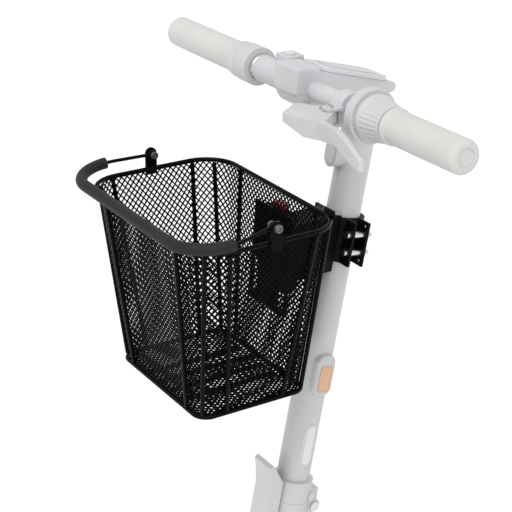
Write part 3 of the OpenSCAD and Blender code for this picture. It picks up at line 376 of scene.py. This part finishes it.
def wall_panel(name, turned, width_top, depth_top, width_low, depth_low):
    def half_at(width, corner):
        return width / 2 - NET_INSET, corner - NET_INSET

    def reach_at(width, corner):
        half, bend = half_at(width, corner)
        return half - bend + bend * math.pi / 4

    bm = flat_net(reach_at(width_low, CORNER_LOW), reach_at(width_top, CORNER_TOP), NET_HEIGHT)
    for vert in bm.verts:
        share = min(max(vert.co.y / NET_HEIGHT, 0), 1)
        corner = CORNER_LOW + (CORNER_TOP - CORNER_LOW) * share
        half, bend = half_at(width_low + (width_top - width_low) * share, corner)
        away = (depth_low + (depth_top - depth_low) * share) / 2 - NET_INSET
        straight = half - bend
        along, side = abs(vert.co.x), math.copysign(1, vert.co.x)
        if along > straight:
            angle = (along - straight) / bend
            across, out = straight + bend * math.sin(angle), away - bend + bend * math.cos(angle)
        else:
            across, out = along, away
        vert.co = Vector((side * across, -out, vert.co.y + NET_RISE))
    to_metres(bm)
    bmesh.ops.rotate(bm, verts=bm.verts[:], cent=(0, 0, 0), matrix=Matrix.Rotation(turned, 3, "Z"))
    bmesh.ops.translate(bm, verts=bm.verts[:], vec=(0, BASKET.y, BASE_Z))
    bmesh.ops.remove_doubles(bm, verts=bm.verts[:], dist=1e-6)
    bmesh.ops.recalc_face_normals(bm, faces=bm.faces[:])
    piece = new_piece(name, bm, "basket", "black_mesh", replaces=("basket_wall",), sharp=60)
    thicken(piece, "sheet_gauge", WALL_GAUGE)


WIDE, DEEP = (262, 182), (173, 134)
panels = (("net_front", 0, WIDE, DEEP), ("net_back", math.pi, WIDE, DEEP),
          ("net_left", math.pi / 2, DEEP, WIDE), ("net_right", -math.pi / 2, DEEP, WIDE))
for name, turned, across, deep in panels:
    wall_panel(name, turned, across[0], deep[0], across[1], deep[1])

# %% [markdown]
# The floor is the same net laid flat, with its corners cut off and four flat straps under it that carry the
# load to the base wire.

# %% The basket's floor
FLOOR_HALF_W, FLOOR_DEPTH, FLOOR_CORNER, FLOOR_GAUGE = 88.2, 128.0, 6, 1.2
STRAP_PITCH, STRAP_SIZE = 0.025, (0.009, 0.122, 0.0015)
floor_net = flat_net(FLOOR_HALF_W, FLOOR_HALF_W, FLOOR_DEPTH)
for sx in (-1, 1):
    for sy in (-1, 1):
        slanted = Vector((sx, sy, 0)).normalized()
        corner = Vector((sx * FLOOR_HALF_W, (1 + sy) * FLOOR_DEPTH / 2, 0))
        cut_away(floor_net, corner - slanted * FLOOR_CORNER, slanted)
bmesh.ops.translate(floor_net, verts=floor_net.verts[:], vec=(0, -FLOOR_DEPTH / 2, 0))
to_metres(floor_net)
bmesh.ops.translate(floor_net, verts=floor_net.verts[:], vec=(0, BASKET.y, BASE_Z + 0.0003))
net = new_piece("floor_net", floor_net, "basket", "black_mesh", replaces=("basket_floor",), sharp=60)
thicken(net, "sheet_gauge", FLOOR_GAUGE)

straps = bmesh.new()
for i in (-1.5, -0.5, 0.5, 1.5):
    place = Matrix.Translation((i * STRAP_PITCH, BASKET.y, BASE_Z - 0.0016)) @ Matrix.Diagonal((*STRAP_SIZE, 1))
    bmesh.ops.create_cube(straps, size=1, matrix=place)
bevel_edges(straps, straps.edges[:], 0.0005, 2)
new_piece("floor_straps", straps, "basket", "black_wire")

# %% [markdown]
# A foam sleeve covers the carrying handle from one bend to the other; the wire's arms stay bare. It is one
# soft tube on a bent wire, so a small ring is opened out for the sleeve's rounded end, spun round the first
# bend, pushed across the front, spun round the second bend and closed again. It is firm and fits its wire
# tightly, so nothing in it sags.

# %% The handle's foam sleeve
BEND, FOAM, FRONT, BEND_X = 48.0, 6.5, 102.0, 94.3
BEND_Y = BEND - FRONT
END_R, SHOULDER_R, BEND_STEPS, FRONT_STEPS = FOAM - 2.0, FOAM - 0.6, 20, 8
SLEEVE_TILT, PIVOT_RISE = math.radians(4.3), 0.017
start = Vector((BEND_X + BEND, BEND_Y, 0))

sleeve = bmesh.new()
faces_back = Matrix.Rotation(math.radians(90), 4, "X")
bmesh.ops.create_circle(sleeve, cap_ends=True, segments=32, radius=END_R,
                        matrix=Matrix.Translation(start + Vector((0, 0.4, 0))) @ faces_back)
rim_edges = sleeve.edges[:]


def push_on(bm, edges, vec, scale=1.0):
    made = bmesh.ops.extrude_edge_only(bm, edges=edges)["geom"]
    verts = [g for g in made if isinstance(g, bmesh.types.BMVert)]
    bmesh.ops.translate(bm, verts=verts, vec=vec)
    middle = sum((v.co for v in verts), Vector()) / len(verts)
    bmesh.ops.scale(bm, verts=verts, vec=(scale,) * 3, space=Matrix.Translation(-middle))
    return [g for g in made if isinstance(g, bmesh.types.BMEdge)]


def spin_on(bm, edges, centre, angle, steps):
    verts = list({v for edge in edges for v in edge.verts})
    made = bmesh.ops.spin(bm, geom=verts + edges, cent=centre, axis=(0, 0, 1), angle=angle, steps=steps)
    return [g for g in made["geom_last"] if isinstance(g, bmesh.types.BMEdge)]


rim_edges = push_on(sleeve, rim_edges, (0, -0.4, 0), SHOULDER_R / END_R)
rim_edges = push_on(sleeve, rim_edges, (0, -0.1, 0), FOAM / SHOULDER_R)
rim_edges = spin_on(sleeve, rim_edges, (BEND_X, BEND_Y, 0), -math.pi / 2, BEND_STEPS)
for _ in range(FRONT_STEPS):
    rim_edges = push_on(sleeve, rim_edges, (-BEND_X * 2 / FRONT_STEPS, 0, 0))
rim_edges = spin_on(sleeve, rim_edges, (-BEND_X, BEND_Y, 0), -math.pi / 2, BEND_STEPS)
rim_edges = push_on(sleeve, rim_edges, (0, 0.1, 0), SHOULDER_R / FOAM)
rim_edges = push_on(sleeve, rim_edges, (0, 0.4, 0), END_R / SHOULDER_R)
bmesh.ops.holes_fill(sleeve, edges=rim_edges, sides=0)
bmesh.ops.recalc_face_normals(sleeve, faces=sleeve.faces[:])
to_metres(sleeve)
bmesh.ops.rotate(sleeve, verts=sleeve.verts[:], cent=(0, 0, 0), matrix=Matrix.Rotation(SLEEVE_TILT, 3, "X"))
bmesh.ops.translate(sleeve, verts=sleeve.verts[:], vec=(0, BASKET.y, RIM_Z + PIVOT_RISE))
foam = new_piece("foam_sleeve", sleeve, "basket_handle", "foam", replaces=("handle_grip",), sharp=70)

# %% [markdown]
# The two grips are moulded rubber: a flange where the thumb rests, a plain barrel, and an end that rolls over
# to a flat disc with a shallow ring pressed in it. Each outline is turned on the lathe and mirrored for the
# rider's other hand.

# %% Grips
BORE_R, GRIP_R, GRIP_SWELL, END_ROUND = 11.3, 18.1, 0.15, 6


def grip_outline(start_x, length):
    outline = [(0, BORE_R), (0, 19.2), (0.8, 19.9), (4.2, 19.9), (5.0, 19.3), (5.6, 18.5), (7, GRIP_R)]
    for share in (0.15, 0.3, 0.5, 0.7, 0.85):
        outline.append((length * share, GRIP_R + GRIP_SWELL * math.sin(math.pi * share)))
    for i in range(7):
        turn_in = math.radians(90 * i / 6)
        outline.append((length - END_ROUND + END_ROUND * math.sin(turn_in),
                        GRIP_R - END_ROUND + END_ROUND * math.cos(turn_in)))
    outline += [(length, 10.4), (length - 0.8, 9.8), (length - 0.8, 8.6), (length, 8.0), (length, 0.01),
                (length - 5, 0.01), (length - 5, BORE_R)]
    return [(start_x + x, radius) for x, radius in outline]


new_piece("grip_left", lathe(grip_outline(165, 115), BAR), "stem", "grip_rubber", replaces=("left_grip",))
right_grip = lathe([(-x, r) for x, r in grip_outline(130, 150)], BAR)
new_piece("grip_right", right_grip, "stem", "grip_rubber", replaces=("right_grip",))

# %% [markdown]
# The bell is rung by twisting its ring. Its barrel tapers to the grip and carries finger grooves all round,
# which a plain cone would lack. The lathe makes the cone, and a wave round the axis presses the grooves in,
# fading out into the smooth band beside the flange.

# %% Bell ring
GROOVES, GROOVE_DEPTH, BORE_LIMIT = 28, 1.0, 0.0165
GROOVE_FROM, GROOVE_TO = 136.9, 162.5
bell = lathe([(130, 15.3), (130, 24.8), (130.6, 25.5), (136.2, 25.5), (136.8, 25.2), (138, 24.7), (142, 23.9),
              (147, 22.9), (152, 21.8), (157, 20.9), (160, 20.4), (162, 20.1), (163, 19.2), (163, 15.3)],
             BAR, steps=GROOVES * 8)
for vert in bell.verts:
    x = (vert.co.x - BAR.x) / MM
    around = Vector((0, vert.co.y - BAR.y, vert.co.z - BAR.z))
    if GROOVE_FROM < x < GROOVE_TO and around.length > BORE_LIMIT:
        fade = min(1, (x - GROOVE_FROM) / 2.5) * min(1, (GROOVE_TO - x) / 2.0)
        wave = 0.5 - 0.5 * math.cos(GROOVES * math.atan2(around.z, around.y))
        depth = GROOVE_DEPTH * MM * fade * (1 - wave) ** 2
        vert.co -= around.normalized() * depth
new_piece("bell_twist_ring", bell, "bell_ring", "bell_plastic", replaces=("bell_ring",), sharp=50)

# %% [markdown]
# Pneumatic tyres have a grooved tread. The carcass is turned with two grooves round the crown, and then each
# block of the shoulders is inset and pushed in a little, which makes the row of side blocks.

# %% Tyres
TYRE_R, SEAT_R, CROWN_R, TYRE_HALF, TYRE_STEPS = 108.0, 68.0, 28.0, 25.8, 144
SHOULDER_FROM, SHOULDER_TO, BLOCKS_R, SMALLEST_BLOCK = 12.0, 20.5, 99.0, 4e-6


def tyre(name, hub, body, node):
    centre_r = TYRE_R - math.sqrt(CROWN_R ** 2 - 12.5 ** 2)
    outline = [(-19, SEAT_R), (-22.0, SEAT_R + 1.5), (-23.6, SEAT_R + 6)]
    for i in range(13):
        a = math.radians(-26 + (90 + 26 - 27) * i / 12)
        outline.append((-min(TYRE_HALF, CROWN_R * math.cos(a)), centre_r + CROWN_R * math.sin(a)))
    right_side = [(-x, r) for x, r in reversed(outline)]
    tread = [(-12.0, 107.9), (-7.0, 108.0), (-6.2, 106.4), (-4.4, 106.4), (-3.6, 108.0), (3.6, 108.0),
             (4.4, 106.4), (6.2, 106.4), (7.0, 108.0), (12.0, 107.9)]
    bm = lathe(outline + tread + right_side, hub, steps=TYRE_STEPS)
    blocks = []
    for face in bm.faces:
        spot = face.calc_center_median() - hub
        radius = math.hypot(spot.y, spot.z) / MM
        on_shoulder = radius > BLOCKS_R and SHOULDER_FROM < abs(spot.x / MM) < SHOULDER_TO
        if on_shoulder and face.calc_area() > SMALLEST_BLOCK:
            index = int((math.atan2(spot.z, spot.y) + math.pi) / math.tau * TYRE_STEPS + 0.01)
            if index % 2 == 0:
                blocks.append(face)
    bmesh.ops.inset_individual(bm, faces=blocks, thickness=0.0005, depth=-0.0012, use_even_offset=True)
    new_piece(name, bm, body, "tyre", replaces=(node,), sharp=32)


tyre("tyre_front", FRONT_HUB, "front_wheel", "front_tyre")
tyre("tyre_rear", REAR_HUB, "rear_wheel", "rear_tyre")

# %% [markdown]
# The deck's mat is a rubber sheet with long ribs for grip. One bevelled slab lies under a row of thin bevelled
# ribs, cut short of the slab's rounded ends.

# %% Deck mat
SLAB, SLAB_CORNER, SLAB_ROUND = 0.0018, 0.018, 0.0006
RIBS, RIB_WIDTH, RIB_HEIGHT, RIB_ROUND = 19, 0.0034, 0.0016, 0.0005
mat_low, mat_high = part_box("deck_mat")
middle = (mat_low + mat_high) / 2
wide, long = mat_high.x - mat_low.x, mat_high.y - mat_low.y
mat = bmesh.new()
bmesh.ops.create_cube(mat, size=1, matrix=Matrix.Translation((middle.x, middle.y, mat_low.z + SLAB / 2))
                      @ Matrix.Diagonal((wide, long, SLAB, 1)))
uprights = [e for e in mat.edges if abs((e.verts[0].co - e.verts[1].co).normalized().z) > 0.9]
bevel_edges(mat, uprights, SLAB_CORNER, 10)
top_rim = [e for e in mat.edges if all(v.co.z > mat_low.z + 0.0017 for v in e.verts)]
bevel_edges(mat, top_rim, SLAB_ROUND, 2)
for i in range(RIBS):
    x = (i - (RIBS - 1) / 2) * wide * 0.92 / RIBS
    short = 0.016 + (0.012 if abs(i - (RIBS - 1) / 2) > RIBS * 0.4 else 0)
    rib = bmesh.ops.create_cube(mat, size=1, matrix=Matrix.Translation((x, middle.y, mat_low.z + 0.0022))
                                @ Matrix.Diagonal((RIB_WIDTH, long - 2 * short, RIB_HEIGHT, 1)))["verts"]
    rib_edges = list({e for v in rib for e in v.link_edges})
    bevel_edges(mat, rib_edges, RIB_ROUND, 2)
new_piece("deck_tread_mat", mat, "deck", "mat_rubber", replaces=("deck_mat",), sharp=50)

# %% [markdown]
# Screws show how the parts are held together. A socket screw's head is a short tapered drum with a hexagonal
# recess: a cone, an inset of its top face, and that face pushed down.

# %% Screws
def socket_screw(bm, at, axis, size, tall):
    up_to = Vector((0, 0, 1)).rotation_difference(Vector(axis).normalized()).to_matrix().to_4x4()
    place = Matrix.Translation(at) @ up_to @ Matrix.Translation((0, 0, tall * MM / 2))
    made = bmesh.ops.create_cone(bm, cap_ends=True, segments=24, radius1=size / 2 * MM,
                                 radius2=size / 2 * 0.86 * MM, depth=tall * MM, matrix=place)["verts"]
    caps = [f for f in {f for v in made for f in v.link_faces} if len(f.verts) == 24]
    top = max(caps, key=lambda f: (f.calc_center_median() - Vector(at)).dot(Vector(axis)))
    bmesh.ops.inset_region(bm, faces=[top], thickness=size * 0.2 * MM)
    moved = bmesh.ops.extrude_discrete_faces(bm, faces=[top])["faces"]
    verts = list({v for f in moved for v in f.verts})
    bmesh.ops.translate(bm, verts=verts, vec=-Vector(axis).normalized() * tall * 0.6 * MM)


def screws(name, body, places, size, tall, metal="bright_steel"):
    bm = bmesh.new()
    for at, axis in places:
        socket_screw(bm, at, axis, size, tall)
    piece = new_piece(name, bm, body, "bright_steel", sharp=35)
    piece.data.materials[0] = finishes[metal]
    return piece


HUB_SCREWS, HUB_SCREW_RING, HUB_FACE = 6, 0.048, 0.0199
screws("lever_pivot_screw", "stem", [(from_bar(91, -28, 5.2), (0, 0, 1))], 9, 2.2)
finishes["dark_steel"] = finish("dark_steel", (0.16, 0.16, 0.165), 0.34, metal=0.9, grain=700, bump=0.15)
frame["nodes"]["pivot_bolts"].data.materials[0] = finishes["dark_steel"]
pivots = [(Vector((side * 0.1387, BASKET.y, RIM_Z + PIVOT_RISE)), (side, 0, 0)) for side in (-1, 1)]
screws("handle_pivot_screws", "basket", pivots, 9.5, 1.6, metal="dark_steel")
hub_ring = []
for side in (-1, 1):
    for i in range(HUB_SCREWS):
        a = math.tau * i / HUB_SCREWS
        ring_place = Vector((0, math.cos(a), math.sin(a))) * HUB_SCREW_RING
        spot = REAR_HUB + Vector((side * HUB_FACE, 0, 0)) + ring_place
        hub_ring.append((spot, (side, 0, 0)))
screws("hub_cover_screws", "rear_wheel", hub_ring, 7, 1.6)
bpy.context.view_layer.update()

# %% [markdown]
# Each side of the stem carries a reflector: a moulded housing that follows the tube, and a lens set into it a
# little below its middle. The housing is a block with its upright edges rounded right over and a softer round
# on its face; the lens is a smaller block whose face is inset, so that a thin frame stands round the prisms.

# %% Side reflectors
LEAN = Matrix.Rotation(-RAKE, 4, "X")
HOUSING_UP, LENS_UP = 562.5, 558.5


def rounded_block(bm, place, size, corner, face_round, sink=0.0):
    scaled = place @ Matrix.Diagonal((*[v * MM for v in size], 1))
    made = bmesh.ops.create_cube(bm, size=1, matrix=scaled)["verts"]
    across = place.to_3x3() @ Vector((1, 0, 0))
    edges = list({e for v in made for e in v.link_edges})
    along = [e for e in edges if abs((e.verts[0].co - e.verts[1].co).normalized().dot(across)) > 0.9]
    bevel_edges(bm, along, corner * MM, 8)
    centre = place.translation
    out = across if (centre - BAR).x > 0 else -across
    facing = [f for f in bm.faces if len(f.verts) > 8 and f.normal.dot(out) > 0.9
              and (f.calc_center_median() - centre).length < max(size) * MM]
    caps = [max(facing, key=lambda f: f.calc_center_median().dot(out))]
    if sink:
        bmesh.ops.inset_region(bm, faces=caps, thickness=1.4 * MM)
        bmesh.ops.inset_region(bm, faces=caps, thickness=0.3 * MM, depth=-sink * MM)
    elif face_round:
        bevel_edges(bm, list({e for f in caps for e in f.edges}), face_round * MM, 4)


housings, lenses = bmesh.new(), bmesh.new()
for side in (-1, 1):
    housing_place = Matrix.Translation(on_steer(side * 21, 0, HOUSING_UP)) @ LEAN
    rounded_block(housings, housing_place, (8, 26, 52), 11, 3)
    lens_place = Matrix.Translation(on_steer(side * 22, 1, LENS_UP)) @ LEAN
    rounded_block(lenses, lens_place, (8, 17, 33), 3.5, 0, sink=0.5)
new_piece("reflector_housings", housings, "stem", "head_plastic", replaces=("side_reflectors",), sharp=50)
new_piece("reflector_lenses", lenses, "stem", "amber_lens", replaces=("side_reflectors",), sharp=50)

# %% [markdown]
# The rating label on each side of the stem is left blank, but it keeps the raised border of a real one. A
# circle pulled apart at its waist makes the long rounded outline, an inset leaves the border, and the ring is
# then laid round the tube.

# %% Label borders
LABEL_UP, LABEL_ROUND, LABEL_PULL = 470.7, 7.4, 18.5
BORDER_WIDTH, BORDER_R, BORDER_GAUGE = 0.9, 20.95, 0.35
borders = bmesh.new()
laid = set()
for side in (-1, 1):
    rim = bmesh.ops.create_circle(borders, cap_ends=True, segments=40, radius=LABEL_ROUND)["verts"]
    for vert in rim:
        vert.co.y += math.copysign(LABEL_PULL, vert.co.y)
    disc = [face for face in borders.faces if face.verts[0] in rim]
    bmesh.ops.inset_region(borders, faces=disc, thickness=BORDER_WIDTH, use_boundary=True, use_even_offset=True)
    bmesh.ops.delete(borders, geom=disc, context="FACES_ONLY")
    flat = [vert for vert in borders.verts if vert not in laid]
    for vert in flat:
        across, along = vert.co.x, vert.co.y
        vert.co = on_steer(side * math.sqrt(BORDER_R ** 2 - across ** 2), across, LABEL_UP + along)
    laid.update(flat)
bmesh.ops.recalc_face_normals(borders, faces=borders.faces[:])
border_piece = new_piece("label_borders", borders, "stem", "light_paint", sharp=60)
thicken(border_piece, "border_thickness", BORDER_GAUGE)

# %% [markdown]
# The head is not only a barrel round the handlebar: a moulded cap with flat sides and a flat top stands on it,
# ahead of the dashboard, with a seam between the two. Beside the throttle the bar's sleeve ends in a polished
# ring.

# %% Head cap and sleeve ring
CAP_PLACE, CAP_SIZE, CAP_NOD, CAP_ROUND = (0, -8.5, 11), (0.0448, 0.033, 0.032), math.radians(-6), 0.0045
cap = bmesh.new()
bmesh.ops.create_cube(cap, size=1, matrix=Matrix.Translation(from_bar(*CAP_PLACE))
                      @ Matrix.Rotation(CAP_NOD, 4, "X") @ Matrix.Diagonal((*CAP_SIZE, 1)))
bevel_edges(cap, cap.edges[:], CAP_ROUND, 5)
new_piece("head_cap", cap, "stem", "head_plastic", sharp=40)
ring_outline = [(-91.5, BORE_R), (-91.5, 15.2), (-90.8, 15.9), (-84, 15.9), (-83.3, 15.2), (-83.3, BORE_R)]
new_piece("sleeve_ring", lathe(ring_outline, BAR), "stem", "bright_steel", sharp=40)
